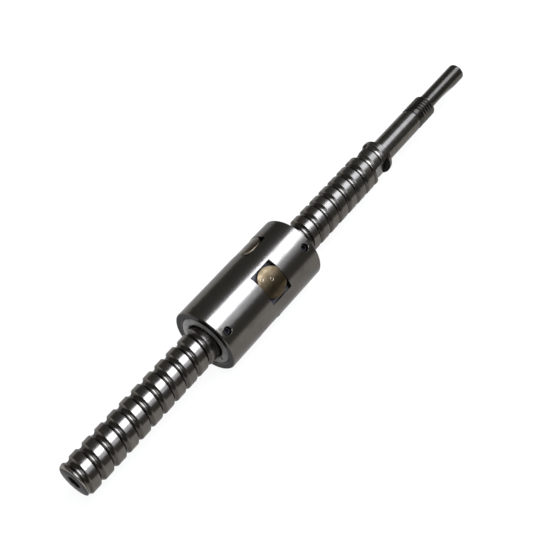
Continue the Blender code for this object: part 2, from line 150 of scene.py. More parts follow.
class ShaftSizes(bpy.types.PropertyGroup):
    """The shaft from its free end to its drive end"""

    thread_length: length("Thread length", "From the free end to the bearing shoulder", 145.2)
    rounding_length: length("End rounding length", "Length of the free end's rounding", 1.2)
    rounding_depth: length("End rounding depth", "Radial depth of the free end's rounding", 0.85)
    centre_radius: length("Centre hole radius", "Mouth radius of the free end's centre hole", 2.2)
    pilot_radius: length("Pilot radius", "Radius of the centre hole's pilot", 1.8)
    pilot_depth: length("Pilot depth", "Depth of the centre hole's pilot", 6.0)
    journal_radius: length("Journal radius", "Radius of the bearing journal", 3.95)
    journal_length: length("Journal length", "Length of the bearing journal", 19.0)
    relief_radius: length("Relief radius", "Radius of the groove between journal and locknut thread", 3.6)
    relief_length: length("Relief length", "Length of that groove", 1.0)
    locknut_radius: length("Locknut thread radius", "Crest radius of the locknut thread", 4.0)
    locknut_pitch: length("Locknut thread pitch", "Pitch of the locknut thread", 1.25)
    locknut_depth: length("Locknut thread depth", "Radial depth of the locknut thread", 0.75)
    locknut_length: length("Locknut thread length", "Length of the locknut thread", 8.8)
    locknut_plain: length("Locknut plain band", "Length of the plain band before the locknut thread", 2.05)
    neck_radius: length("Neck radius", "Radius of the undercut before the drive journal", 2.6)
    neck_length: length("Neck length", "Length of that undercut", 1.6)
    drive_radius: length("Drive journal radius", "Radius of the drive journal", 3.0)
    drive_length: length("Drive journal length", "Length of the drive journal", 18.9)
    drive_flat_depth: length("Flat depth", "Depth of the flat on the drive journal", 0.7)
    drive_flat_length: length("Flat length", "Length of that flat at its full depth", 5.6)
    drive_flat_runout: length("Flat run-out", "Length over which the cutter left the metal", 8.5)
    drive_flat_angle: angle("Flat angle", "Direction that the flat faces", 199.5)
    spanner_half_gap: length("Spanner half gap", "From the axis to a spanner flat", 4.0)
    spanner_length: length("Spanner flat length", "Length of the spanner flats", 6.9)
    spanner_angle: angle("Spanner flat angle", "Direction that a spanner flat faces", 186.5)
    collar_length: length("Collar length", "From the spanner flats to the shoulder", 1.5)


class NutSizes(bpy.types.PropertyGroup):
    """The nut's body, its pockets and its screw holes"""

    middle: distance("Middle", "Where the middle of the nut is along the screw", -69.0 * MM)
    half_length: length("Half length", "Half of the nut's length", 21.3)
    radius: length("Radius", "Outside radius", 11.0)
    chamfer: length("Chamfer", "Edge break at both ends", 0.35)
    bore_radius: length("Bore radius", "Radius of the bore past the shaft's crests", 6.1)
    seat_radius: length("Seat radius", "Radius of the bore that holds a wiper", 8.75)
    seat_depth: length("Seat depth", "Depth of that bore", 4.55)
    roll: angle("Roll", "Direction that the set screws face", 128.0)
    screw_hole_radius: length("Screw hole radius", "Radius of a set screw's hole", 1.25)
    screw_place: length("Screw place", "From the nut's end to a set screw's middle", 2.85)
    pocket_half_length: length("Pocket half length", "Half of a pocket's length along the screw", 4.4)
    pocket_half_width: length("Pocket half width", "Half of a pocket's width round the nut", 5.35)
    pocket_floor: length("Pocket floor", "From the axis to the floor of a pocket", 7.6)


class DeflectorSizes(bpy.types.PropertyGroup):
    """The four deflectors"""

    count: IntProperty(name="Count", description="How many ball circuits the nut has", default=4, min=1)
    step: length("Step", "Distance along the screw from one deflector to the next", 6.25)
    turn: angle("Turn", "Angle from one deflector to the next", -90)
    offset: distance("Offset", "How far the circuits' middle is from the nut's", -0.33 * MM)
    radius: length("Button radius", "Radius of a deflector's button", 4.85)
    clearance: length("Clearance", "Gap between a deflector and its pocket", 0.1)
    sink: length("Sink", "How far a button's top lies below the nut's outside", 0.12)
    rim: length("Rim", "Rounding round a button's top", 0.4)
    plate: length("Plate", "Thickness of the square plate under a button", 0.7)


class WiperSizes(bpy.types.PropertyGroup):
    """The end wipers and the screws that hold them"""

    outer_radius: length("Outer radius", "Outside radius of a wiper", 8.6)
    bore_radius: length("Bore radius", "Inside radius of a wiper", 6.25)
    thickness: length("Length", "Length of a wiper along the screw", 4.0)
    recess: length("Recess", "How far a wiper lies below the nut's end", 0.1)
    groove_depth: length("Groove depth", "Depth of the groove that a set screw's tip sits in", 0.8)
    slit_width: length("Slit width", "Width of the slit in the free-end wiper", 0.7)
    slit_depth: length("Slit depth", "Depth of the slit from the bore", 1.1)
    slit_angle: angle("Slit angle", "Direction of the slit", 209.0)
    screw_radius: length("Set screw radius", "Radius of a set screw", 1.15)
    screw_length: length("Set screw length", "Length of a set screw", 2.0)
    screw_socket: length("Socket size", "Size across the flats of a set screw's socket", 1.3)


class FinishColours(bpy.types.PropertyGroup):
    """The colours of the finishes"""

    steel: colour("Ground steel", "The shaft's ground surfaces", (0.125, 0.115, 0.102))
    # Raceway: oil and painted shade on the sides of the grooves
    groove: colour("Raceway", "The oiled sides of the grooves", (0.07, 0.064, 0.056))
    face: colour("Turned faces", "The end faces of the shaft and the nut", (0.06, 0.059, 0.06))
    stain: colour("Stain", "Small stains on the nut", (0.05, 0.035, 0.022))
    nut_steel: colour("Nut steel", "The nut's outside", (0.115, 0.106, 0.094))
    bronze: colour("Bronze", "The deflectors", (0.071, 0.053, 0.031))
    # Wear on the buttons' rims, brightened beyond wear as a painted highlight
    worn: colour("Worn bronze", "The rubbed rims of the buttons", (0.42, 0.34, 0.25))
    # Painted shade on the plate deep in each pocket
    plate: colour("Plate", "The dark plate under each button", (0.075, 0.075, 0.08))
    wiper: colour("Wiper", "The end wipers", (0.19, 0.174, 0.15))
    black: colour("Black oxide", "The set screws", (0.022, 0.022, 0.024))
    ball: colour("Ball steel", "The balls", (0.45, 0.45, 0.46))


class StageSettings(bpy.types.PropertyGroup):
    """Floor, lamps and camera"""

    floor_width: distance("Floor", "Width of the floor", 200.0)
    floor_colour: colour("Floor colour", "The pale floor", (0.9, 0.9, 0.9))
    surroundings: colour("Surroundings", "The studio's walls and ceiling", (0.172, 0.172, 0.157))
    lamp_height: distance("Lamp height", "Height of the lamps", 0.95)
    lamp_colour: colour("Lamp colour", "The lamps' cool light", (0.80, 0.86, 1.0))
    lens: FloatProperty(name="Lens", description="Focal length of the camera in millimetres", default=69.09)


def settings(name):
    return getattr(bpy.context.scene, f"ball_screw_{name}")


# Tools for modelling


def deselect_all():
    if bpy.context.mode != "OBJECT":
        bpy.ops.object.mode_set(mode="OBJECT")
    bpy.ops.object.select_all(action="DESELECT")


def activate(obj):
    deselect_all()
    obj.select_set(True)
    bpy.context.view_layer.objects.active = obj


def start_edit(obj):
    activate(obj)
    bpy.ops.object.mode_set(mode="EDIT")
    bpy.ops.mesh.select_all(action="SELECT")


def end_edit():
    bpy.ops.object.mode_set(mode="OBJECT")


def draw_outline(name, points, closed=False):
    """Draws an outline of (x, z) points, extruding it corner by corner from a single vertex."""
    deselect_all()
    bpy.ops.mesh.primitive_plane_add(size=MM)
    obj = bpy.context.object
    obj.name = name
    start_edit(obj)
    bpy.ops.mesh.merge(type="CENTER")
    bpy.ops.transform.translate(value=(points[0][0], 0, points[0][1]))
    for (x, z), (next_x, next_z) in zip(points, points[1:]):
        step = (next_x - x, 0, next_z - z)
        bpy.ops.mesh.extrude_region_move(TRANSFORM_OT_translate={"value": step})
    end_edit()
    if closed:
        last = len(obj.data.vertices) - 1
        for vertex in obj.data.vertices:
            vertex.select = vertex.index in (0, last)
        for edge in obj.data.edges:
            edge.select = False
        bpy.ops.object.mode_set(mode="EDIT")
        bpy.ops.mesh.edge_face_add()
        end_edit()
    return obj


def clean(obj):
    """Merges doubled corners and points every face out."""
    start_edit(obj)
    bpy.ops.mesh.remove_doubles(threshold=WELD)
    bpy.ops.mesh.select_all(action="SELECT")
    bpy.ops.mesh.normals_make_consistent(inside=False)
    end_edit()


def turn_outline(name, points, steps, closed=False):
    """A turned piece: an outline of (along the screw, radius) points, spun once round the X axis."""
    obj = draw_outline(name, points, closed)
    start_edit(obj)
    bpy.ops.mesh.spin(steps=steps, angle=TURN, center=(0, 0, 0), axis=(1, 0, 0))
    end_edit()
    clean(obj)
    return obj


def apply_modifier(obj, kind, **values):
    activate(obj)
    modifier = obj.modifiers.new(kind.title(), kind)
    for name, value in values.items():
        setattr(modifier, name, value)
    bpy.ops.object.modifier_apply(modifier=modifier.name)


def remove(obj):
    bpy.data.objects.remove(obj, do_unlink=True)


def cut(obj, other, operation="DIFFERENCE"):
    """Applies a Boolean with another object, which is then removed."""
    apply_modifier(obj, "BOOLEAN", operation=operation, object=other, solver="EXACT")
    remove(other)


def place(obj, matrix):
    """Puts an object's place into its mesh."""
    obj.matrix_world = matrix
    activate(obj)
    bpy.ops.object.transform_apply(location=True, rotation=True, scale=True)


def placed_copy(obj, matrix):
    """A copy with its own mesh, at a place of its own."""
    copy = obj.copy()
    copy.data = obj.data.copy()
    bpy.context.collection.objects.link(copy)
    place(copy, matrix)
    return copy


def facing(direction, along=0.0):
    """A frame at a place along the screw whose Z points out at an angle."""
    return Matrix.Translation((along, 0, 0)) @ Matrix.Rotation(direction - UP_ANGLE, 4, "X")


def add_box(name, low, high):
    deselect_all()
    low, high = Vector(low), Vector(high)
    bpy.ops.mesh.primitive_cube_add(size=1, location=(low + high) / 2, scale=high - low)
    obj = bpy.context.object
    obj.name = name
    bpy.ops.object.transform_apply(location=True, rotation=True, scale=True)
    return obj


def add_cylinder(name, radius, low, high, sides):
    """A cylinder along Z."""
    deselect_all()
    bpy.ops.mesh.primitive_cylinder_add(
        vertices=sides, radius=radius, depth=high - low, location=(0, 0, (low + high) / 2)
    )
    obj = bpy.context.object
    obj.name = name
    bpy.ops.object.transform_apply(location=True, rotation=True, scale=True)
    return obj


def break_edges(obj, width, degrees, segments=2):
    """Bevels the edges where faces meet at more than an angle."""
    apply_modifier(
        obj,
        "BEVEL",
        width=width,
        segments=segments,
        limit_method="ANGLE",
        angle_limit=math.radians(degrees),
        use_clamp_overlap=True,
    )


def smooth(obj):
    activate(obj)
    bpy.ops.object.shade_smooth_by_angle(angle=SMOOTH_ANGLE)


def join(first, *others):
    deselect_all()
    for obj in (first, *others):
        obj.select_set(True)
    bpy.context.view_layer.objects.active = first
    bpy.ops.object.join()
    return first


def dress(obj, name, body, material, slot_name, *nodes):
    """Names a finished piece, paints it, sets it on its body and hides the solids it stands for."""
    obj.name = name
    obj.data.name = name
    obj.data.materials.clear()
    obj.data.materials.append(material)
    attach(obj, body)
    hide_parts(*nodes)


# Materials


class Painter:
    """Adds nodes to a new material, and links them."""

    def __init__(self, name):
        self.material = bpy.data.materials.new(name)
        self.material.use_nodes = True
        self.nodes = self.material.node_tree.nodes
        self.links = self.material.node_tree.links
        self.shader = self.nodes["Principled BSDF"]
        self.position = self.nodes.new("ShaderNodeTexCoord").outputs["Object"]

    def set(self, socket, value):
        self.shader.inputs[socket].default_value = value

    def link(self, output, socket):
        self.links.new(output, self.shader.inputs[socket])

    def scaled(self, scale):
        """Object coordinates, stretched."""
        mapping = self.nodes.new("ShaderNodeMapping")
        mapping.inputs["Scale"].default_value = scale
        self.links.new(self.position, mapping.inputs["Vector"])
        return mapping.outputs["Vector"]

    def noise(self, scale, detail=3.0, roughness=0.5):
        """Noise with that many cells in a metre along X, Y and Z."""
        texture = self.nodes.new("ShaderNodeTexNoise")
        texture.inputs["Scale"].default_value = 1.0
        texture.inputs["Detail"].default_value = detail
        texture.inputs["Roughness"].default_value = roughness
        self.links.new(self.scaled(scale), texture.inputs["Vector"])
        return texture.outputs["Fac"]

    def spread(self, output, low, high, to_low=0.0, to_high=1.0):
        """Maps a range of values to another, held at both ends."""
        ranged = self.nodes.new("ShaderNodeMapRange")
        for name, value in (("From Min", low), ("From Max", high), ("To Min", to_low), ("To Max", to_high)):
            ranged.inputs[name].default_value = value
        self.links.new(output, ranged.inputs["Value"])
        return ranged.outputs["Result"]

    def math(self, operation, first, second=0.5):
        node = self.nodes.new("ShaderNodeMath")
        node.operation = operation
        node.inputs[2].default_value = COMPARED
        for value, socket in ((first, node.inputs[0]), (second, node.inputs[1])):
            if isinstance(value, (int, float)):
                socket.default_value = value
            else:
                self.links.new(value, socket)
        return node.outputs[0]

    def mix(self, factor, first, second):
        node = self.nodes.new("ShaderNodeMix")
        node.data_type = "RGBA"
        self.links.new(factor, node.inputs["Factor"])
        for value, socket in ((first, node.inputs["A"]), (second, node.inputs["B"])):
            if isinstance(value, (tuple, list)):
                socket.default_value = (*value[:3], 1.0)
            else:
                self.links.new(value, socket)
        return node.outputs["Result"]

    def coordinate(self, axis):
        """A point's place along X, Y or Z."""
        parts = self.nodes.new("ShaderNodeSeparateXYZ")
        self.links.new(self.position, parts.inputs[0])
        return parts.outputs[axis]

    def radius(self):
        """A point's distance from the screw's axis."""
        squares = []
        for axis in "YZ":
            side = self.coordinate(axis)
            squares.append(self.math("MULTIPLY", side, side))
        return self.math("SQRT", self.math("ADD", *squares))

    def bump(self, height, distance, strength, under=None):
        """A bump in the surface, on top of another one where there is one under it."""
        node = self.nodes.new("ShaderNodeBump")
        node.inputs["Strength"].default_value = strength
        node.inputs["Distance"].default_value = distance
        self.links.new(height, node.inputs["Height"])
        if under is not None:
            self.links.new(under, node.inputs["Normal"])
        return node.outputs["Normal"]


def shade(rgb, factor):
    """A colour made lighter or darker."""
    return tuple(min(1.0, channel * factor) for channel in rgb)


# Colours of painted shade where little light reaches (black also darkens the turned end), and of the oil on
# the turned end
UNLIT = (0.0, 0.0, 0.0)
HOLLOW = (0.02, 0.02, 0.02)
BROWN_OIL = (0.02, 0.017, 0.013)

# What a metal keeps of its shine where it is looked at along its surface
POLISHED_TINT = (0.68, 0.68, 0.68)
DULL_TINT = (0.45, 0.45, 0.45)
FACE_TINT = (0.5, 0.5, 0.5)


def ground_steel():
    """Shaft steel: grinding lines round the axis, grooves darkened by oil and by painted shade, a darker
    turned end, a painted highlight on the free end's rounding, and painted shade in the hollows.
    """
    colours = settings("colours")
    thread = settings("thread")
    shaft = settings("shaft")
    paint = Painter("Ground steel")
    paint.set("Metallic", 1.0)
    along = paint.coordinate("X")
    radius = paint.radius()
    lines = paint.noise((9000, 250, 250), 4.0, 0.6)
    bands = paint.noise((900, 60, 60), 3.0)
    clouds = paint.noise((260, 320, 320), 4.0, 0.6)
    light = shade(colours.steel, 1.1)
    dark = shade(colours.steel, 0.92)
    steel = paint.mix(paint.spread(bands, 0.3, 0.7), dark, light)
    cloudy = paint.spread(clouds, 0.45, 0.75, 0.0, 0.35)
    steel = paint.mix(cloudy, steel, shade(colours.steel, 0.62))

    # Oil and painted shade in the grooves, from the free end to the spanner flats
    flats = -shaft.collar_length - shaft.spanner_length
    crest = thread.crest_radius
    threaded = paint.spread(along, flats - 0.6 * MM, flats - 0.2 * MM, 1.0, 0.0)
    deep = paint.spread(radius, crest - 0.5 * MM, crest - 0.12 * MM, 1.0, 0.0)
    oil = paint.noise((500, 500, 500), 4.0, 0.6)
    film = paint.spread(oil, 0.3, 0.6, 0.7, 1.0)
    groove = paint.math("MULTIPLY", paint.math("MULTIPLY", threaded, deep), film)
    steel = paint.mix(groove, steel, colours.groove[:])

    # The darker turned end, and brown oil on the plain band before its locknut thread
    thread_start = shaft.journal_length + shaft.relief_length
    turned = paint.spread(along, thread_start, thread_start + 0.3 * MM)
    steel = paint.mix(paint.math("MULTIPLY", turned, 0.28), steel, UNLIT)
    plain_end = thread_start + shaft.locknut_plain
    plain = paint.spread(along, plain_end - 0.3 * MM, plain_end, 0.45, 0.0)
    steel = paint.mix(paint.math("MULTIPLY", turned, plain), steel, BROWN_OIL)

    # The free end: a painted highlight on its rounding, and a dull face
    free = -shaft.thread_length
    highlighted = paint.spread(along, free + 0.6 * MM, free + 0.9 * MM, 1.0, 0.0)
    face = paint.spread(along, free + 0.02 * MM, free + 0.06 * MM, 1.0, 0.0)
    # Painted highlight: the rounding's steel is made twice as bright
    steel = paint.mix(highlighted, steel, shade(colours.steel, 2.0))
    steel = paint.mix(face, steel, colours.face[:])

    # Painted shade: the hollow of the centre hole, and the collar's side towards the spanner flats, painted
    # dark and without reflections
    centre = shaft.centre_radius
    pilot_end = free + shaft.pilot_depth
    inside = paint.spread(radius, centre - 0.1 * MM, centre + 0.05 * MM, 1.0, 0.0)
    pilot = paint.spread(along, pilot_end + 2 * MM, pilot_end + 3 * MM, 1.0, 0.0)
    collar = paint.math("MULTIPLY", paint.math("COMPARE", along, -shaft.collar_length), 0.8)
    painted_shade = paint.math("MAXIMUM", paint.math("MULTIPLY", inside, pilot), collar)
    steel = paint.mix(painted_shade, steel, HOLLOW)
    paint.link(steel, "Base Color")

    dull = paint.math("MAXIMUM", face, paint.math("MULTIPLY", groove, 0.7))
    tint = paint.mix(dull, POLISHED_TINT, DULL_TINT)
    paint.link(paint.mix(painted_shade, tint, UNLIT), "Specular Tint")
    banded = paint.spread(bands, 0.3, 0.7, 0.2, 0.22)
    clouded = paint.spread(clouds, 0.4, 0.7, 0.0, 0.05)
    rough = paint.math("ADD", banded, clouded)
    paint.link(paint.math("MAXIMUM", rough, paint.math("MULTIPLY", painted_shade, 0.9)), "Roughness")
    fine = paint.bump(lines, 0.003 * MM, 0.12)
    paint.link(paint.bump(bands, 0.012 * MM, 0.08, fine), "Normal")
    return paint.material


def nut_steel():
    """The nut's outside: fine lines round it, a film of oil in smears, small stains and dull end faces."""
    colours = settings("colours")
    nut = settings("nut")
    paint = Painter("Nut steel")
    paint.set("Metallic", 1.0)
    lines = paint.noise((7000, 140, 140), 4.0, 0.6)
    smears = paint.noise((150, 190, 190), 4.0, 0.62)
    specks = paint.noise((900, 900, 900), 2.0)
    spots = paint.noise((330, 300, 300), 2.0, 0.4)
    light = shade(colours.nut_steel, 1.12)
    dark = shade(colours.nut_steel, 0.84)
    steel = paint.mix(paint.spread(smears, 0.35, 0.7), light, dark)
    specked = paint.spread(specks, 0.66, 0.78, 0.0, 0.4)
    steel = paint.mix(specked, steel, shade(colours.nut_steel, 0.55))
    spotted = paint.spread(spots, 0.70, 0.76, 0.0, 0.55)
    steel = paint.mix(spotted, steel, colours.stain[:])

    from_middle = paint.math("ABSOLUTE", paint.math("SUBTRACT", paint.coordinate("X"), nut.middle))
    face = paint.spread(from_middle, nut.half_length - 0.05 * MM, nut.half_length - 0.02 * MM)
    steel = paint.mix(face, steel, colours.face[:])
    paint.link(steel, "Base Color")
    paint.link(paint.mix(face, POLISHED_TINT, FACE_TINT), "Specular Tint")
    paint.link(paint.spread(smears, 0.3, 0.7, 0.19, 0.25), "Roughness")
    fine = paint.bump(lines, 0.003 * MM, 0.45)
    paint.link(paint.bump(smears, 0.02 * MM, 0.3, fine), "Normal")
    return paint.material


def deflector_bronze():
    """Machined bronze, stained and grained, worn round a button's rim and brightened there as a painted
    highlight, with painted shade on the plate below.
    """
    colours = settings("colours")
    nut = settings("nut")
    paint = Painter("Machined bronze")
    paint.set("Metallic", 1.0)
    radius = paint.radius()
    stains = paint.noise((380, 420, 420), 4.0, 0.6)
    grain = paint.noise((3500, 3500, 3500), 3.0)
    light = shade(colours.bronze, 1.3)
    dark = shade(colours.bronze, 0.55)
    bronze = paint.mix(paint.spread(stains, 0.35, 0.68), light, dark)
    grained = paint.spread(grain, 0.5, 0.8, 0.0, 0.3)
    bronze = paint.mix(grained, bronze, shade(colours.bronze, 0.5))

    # The worn rim round the button's top, brightened beyond wear as a painted highlight
    top = nut.radius - settings("deflector").sink
    under_top = paint.spread(radius, top - 0.07 * MM, top - 0.02 * MM, 1.0, 0.0)
    over_side = paint.spread(radius, top - 0.5 * MM, top - 0.35 * MM)
    bronze = paint.mix(paint.math("MULTIPLY", under_top, over_side), bronze, colours.worn[:])
    # Painted shade: the plate deep in the pocket is painted dark
    deep = paint.spread(radius, nut.radius - 1.2 * MM, nut.radius - 0.5 * MM, 1.0, 0.0)
    bronze = paint.mix(deep, bronze, colours.plate[:])
    paint.link(bronze, "Base Color")
    paint.link(paint.spread(stains, 0.3, 0.7, 0.27, 0.36), "Roughness")
    fine = paint.bump(grain, 0.006 * MM, 0.5)
    paint.link(paint.bump(stains, 0.05 * MM, 0.35, fine), "Normal")
    return paint.material


def wiper_plastic():
    """Moulded resin with a dull skin and random stains, with painted shade darkening its -Y side."""
    colours = settings("colours")
    paint = Painter("Wiper resin")
    skin = paint.noise((2600, 2600, 2600), 3.0)
    stains = paint.noise((420, 420, 420), 4.0)
    light = shade(colours.wiper, 1.15)
    dark = shade(colours.wiper, 0.68)
    resin = paint.mix(paint.spread(stains, 0.35, 0.7), light, dark)
    # Painted shade: the resin darkens towards -Y
    shaded = paint.spread(paint.coordinate("Y"), -3 * MM, 6.5 * MM, 0.85, 0.0)
    paint.link(paint.mix(shaded, resin, shade(colours.wiper, 0.25)), "Base Color")
    paint.link(paint.spread(stains, 0.3, 0.7, 0.38, 0.55), "Roughness")
    paint.link(paint.bump(skin, 0.01 * MM, 0.4), "Normal")
    return paint.material


def black_oxide():
    """Blackened steel, worn grey in specks."""
    colours = settings("colours")
    paint = Painter("Blackened steel")
    paint.set("Metallic", 0.85)
    wear = paint.noise((2200, 2200, 2200), 3.0)
    worn = paint.spread(wear, 0.6, 0.75)
    paint.link(paint.mix(worn, colours.black[:], shade(colours.black, 4.0)), "Base Color")
    paint.link(paint.spread(wear, 0.3, 0.7, 0.34, 0.5), "Roughness")
    paint.link(paint.bump(wear, 0.006 * MM, 0.4), "Normal")
    return paint.material


def ball_steel():
    """Polished balls with a thin veil of oil."""
    colours = settings("colours")
    paint = Painter("Polished ball steel")
    paint.set("Metallic", 1.0)
    oil = paint.noise((1200, 1200, 1200), 3.0)
    veil = paint.spread(oil, 0.4, 0.7)
    paint.link(paint.mix(veil, colours.ball[:], shade(colours.ball, 0.8)), "Base Color")
    paint.link(paint.spread(oil, 0.3, 0.7, 0.06, 0.14), "Roughness")
    paint.link(paint.bump(oil, 0.002 * MM, 0.2), "Normal")
    return paint.material


# Pieces


def groove_outline(thread, middle):
    """One lead of the thread, from the middle of a land to the next, with two gothic flanks between."""
    crest = thread.crest_radius
    shift = thread.groove_shift
    radius = thread.groove_radius
    level = crest - thread.ball_circle
    mouth = math.sqrt(radius**2 - level**2) - shift
    first = math.atan2(level, -(mouth + shift)) % TURN
    last = math.atan2(-math.sqrt(radius**2 - shift**2), -shift) % TURN
    flank = []
    for i in range(1, FLANK_STEPS + 1):
        bend = first + (last - first) * i / FLANK_STEPS
        flank.append((shift + radius * math.cos(bend), thread.ball_circle + radius * math.sin(bend)))
    left = [(-mouth - thread.edge_break, crest), *flank]
    right = [(-x, z) for x, z in reversed(left[:-1])]
    half = thread.lead / 2
    points = [(-half, crest), *left, *right, (half, crest)]
    return [(middle + x, z) for x, z in points]


def threaded_bar(name, outline, lead, turns, steps, low, high):
    """A bar with a helical outline, cut square at both ends. A negative lead is a left-hand thread."""
    bar = draw_outline(name, outline)
    apply_modifier(
        bar,
        "SCREW",
        axis="X",
        angle=TURN,
        screw_offset=lead,
        iterations=turns,
        steps=steps,
        render_steps=steps,
        use_merge_vertices=True,
        merge_threshold=WELD,
    )
    clean(bar)
    for end, outwards in ((low, -1), (high, 1)):
        start_edit(bar)
        bpy.ops.mesh.bisect(
            plane_co=(end, 0, 0), plane_no=(outwards, 0, 0), use_fill=True, clear_outer=True, threshold=WELD
        )
        end_edit()
    clean(bar)
    return bar


def shaft_envelope():
    """What the threaded part is turned to: a rounded free end, its centre hole and the shoulder."""
    sizes = settings("shaft")
    crest = settings("thread").crest_radius
    free = -sizes.thread_length
    cone = math.tan(CENTRE_ANGLE)
    pilot_mouth = free + (sizes.centre_radius - sizes.pilot_radius) / cone
    pilot_end = free + sizes.pilot_depth
    edge = 0.15 * MM
    outline = [
        (pilot_end + sizes.pilot_radius * cone, 0),
        (pilot_end, sizes.pilot_radius),
        (pilot_mouth, sizes.pilot_radius),
        (free, sizes.centre_radius),
    ]
    for i in range(ROUNDING_STEPS + 1):
        bend = UP_ANGLE * i / ROUNDING_STEPS
        along = free + sizes.rounding_length * (1 - math.cos(bend))
        outline.append((along, crest - sizes.rounding_depth * (1 - math.sin(bend))))
    outline += [
        (free + sizes.rounding_length + PROUD, crest + PROUD),
        (-edge - PROUD, crest + PROUD),
        (0, crest - edge),
        (0, 0),
    ]
    return turn_outline("shaft_envelope", outline, SHAFT_STEPS)


def shaft_bar():
    """The threaded part: helix, rounded free end with its centre hole, shoulder and spanner flats."""
    thread = settings("thread")
    sizes = settings("shaft")
    free = -sizes.thread_length
    past = thread.lead / 2
    middle = thread.groove_at_top % thread.lead + thread.lead
    turns = math.ceil((middle + thread.lead - free) / thread.lead) + 1
    outline = groove_outline(thread, middle)
    bar = threaded_bar("shaft_bar", outline, -thread.lead, turns, RACEWAY_STEPS, free - past, past)
    cut(bar, shaft_envelope(), "INTERSECT")

    wide = 2 * thread.crest_radius
    end = -sizes.collar_length
    low = (end - sizes.spanner_length, -wide, sizes.spanner_half_gap)
    flat = add_box("spanner_flat", low, (end, wide, wide))
    for direction in (sizes.spanner_angle, sizes.spanner_angle + TURN / 2):
        cut(bar, placed_copy(flat, facing(direction)))
    remove(flat)
    return bar


def locknut_outline(sizes, middle):
    """One pitch of a sixty-degree thread."""
    half = sizes.locknut_pitch / 2
    flat = sizes.locknut_pitch / 8
    crest = sizes.locknut_radius
    root = crest - sizes.locknut_depth
    points = [
        (-half, crest),
        (-half + flat / 2, crest),
        (-flat / 2, root),
        (flat / 2, root),
        (half - flat / 2, crest),
        (half, crest),
    ]
    return [(middle + x, z) for x, z in points]


def locknut_thread(start, end):
    """The locknut thread past its plain band, chamfered at its end."""
    sizes = settings("shaft")
    pitch = sizes.locknut_pitch
    crest = sizes.locknut_radius
    plain_end = start + sizes.locknut_plain
    past = 0.2 * MM
    short = 0.02 * MM
    chamfer_length = 0.35 * MM
    chamfer_depth = 0.4 * MM
    turns = math.ceil(sizes.locknut_length / pitch) + 3
    outline = locknut_outline(sizes, start - pitch)
    thread = threaded_bar("locknut_thread", outline, pitch, turns, LOCKNUT_STEPS, plain_end, end + past)
    envelope = turn_outline(
        "locknut_envelope",
        [
            (plain_end - PROUD, 0),
            (plain_end - PROUD, crest + PROUD),
            (end - chamfer_length - PROUD, crest + PROUD),
            (end - short, crest - chamfer_depth),
            (end - short, 0),
        ],
        LOCKNUT_STEPS,
    )
    cut(thread, envelope, "INTERSECT")
    return thread


def drive_flat_cutter(start):
    """The metal that the flat's milling cutter took, with its arc-shaped run-out."""
    sizes = settings("shaft")
    depth = sizes.drive_flat_depth
    level = sizes.drive_radius - depth
    full = start + sizes.drive_flat_length
    arc = (sizes.drive_flat_runout**2 + depth**2) / (2 * depth)
    reach = math.sqrt(arc**2 - (arc - 2 * depth) ** 2)
    begin = start - sizes.neck_length / 2
    outline = [(begin, level + 2 * depth), (begin, level)]
    for i in range(RUNOUT_STEPS + 1):
        along = reach * i / RUNOUT_STEPS
        outline.append((full + along, level + arc - math.sqrt(arc**2 - along**2)))
    cutter = draw_outline("drive_flat", outline, closed=True)
    start_edit(cutter)
    bpy.ops.mesh.edge_face_add()
    width = 2 * sizes.drive_radius
    bpy.ops.transform.translate(value=(0, -width, 0))
    bpy.ops.mesh.extrude_region_move(TRANSFORM_OT_translate={"value": (0, 2 * width, 0)})
    end_edit()
    clean(cutter)
    place(cutter, facing(sizes.drive_flat_angle))
    return cutter


def journals():
    """The turned end: bearing journal, relief, locknut thread, undercut and drive journal."""
    sizes = settings("shaft")
    seat_end = sizes.journal_length
    thread_start = seat_end + sizes.relief_length
    thread_end = thread_start + sizes.locknut_length
    plain_end = thread_start + sizes.locknut_plain
    drive_start = thread_end + sizes.neck_length
    drive_end = drive_start + sizes.drive_length
    overlap = 2 * MM
    fillet = 0.3 * MM
    thread_chamfer = 0.55 * MM
    end_chamfer = 0.35 * MM
    centre_radius = 1.1 * MM
    centre_depth = 1.9 * MM
    under_root = 0.05 * MM
    core = sizes.locknut_radius - sizes.locknut_depth - under_root
    rod = turn_outline(
        "journals",
        [
            (-overlap, 0),
            (-overlap, sizes.journal_radius),
            (seat_end - fillet / 2, sizes.journal_radius),
            (seat_end, sizes.journal_radius - fillet / 2),
            (seat_end + fillet / 2, sizes.relief_radius),
            (thread_start, sizes.relief_radius),
            (thread_start + thread_chamfer, sizes.locknut_radius),
            (plain_end - under_root, sizes.locknut_radius),
            (plain_end + 2 * under_root, core),
            (thread_end - fillet, core),
            (thread_end, sizes.neck_radius),
            (drive_start - fillet, sizes.neck_radius),
            (drive_start, sizes.drive_radius - fillet / 3),
            (drive_start + fillet / 3, sizes.drive_radius),
            (drive_end - end_chamfer, sizes.drive_radius),
            (drive_end, sizes.drive_radius - end_chamfer),
            (drive_end, centre_radius),
            (drive_end - centre_depth, 0),
        ],
        SHAFT_STEPS,
    )
    cut(rod, drive_flat_cutter(drive_start))
    return join(rod, locknut_thread(thread_start, thread_end))


def deflector_place(index):
    """The frame of a deflector and its pocket, counted from 0 at the free end."""
    sizes = settings("deflector")
    nut = settings("nut")
    along = nut.middle + sizes.offset + (index - (sizes.count - 1) / 2) * sizes.step
    return facing(nut.roll + sizes.turn * (index - SCREW_SIDE), along)


def set_screw_place(sign):
    """The frame of a set screw and its hole, at the free end for -1 and at the drive end for 1."""
    nut = settings("nut")
    return facing(nut.roll, nut.middle + sign * (nut.half_length - nut.screw_place))


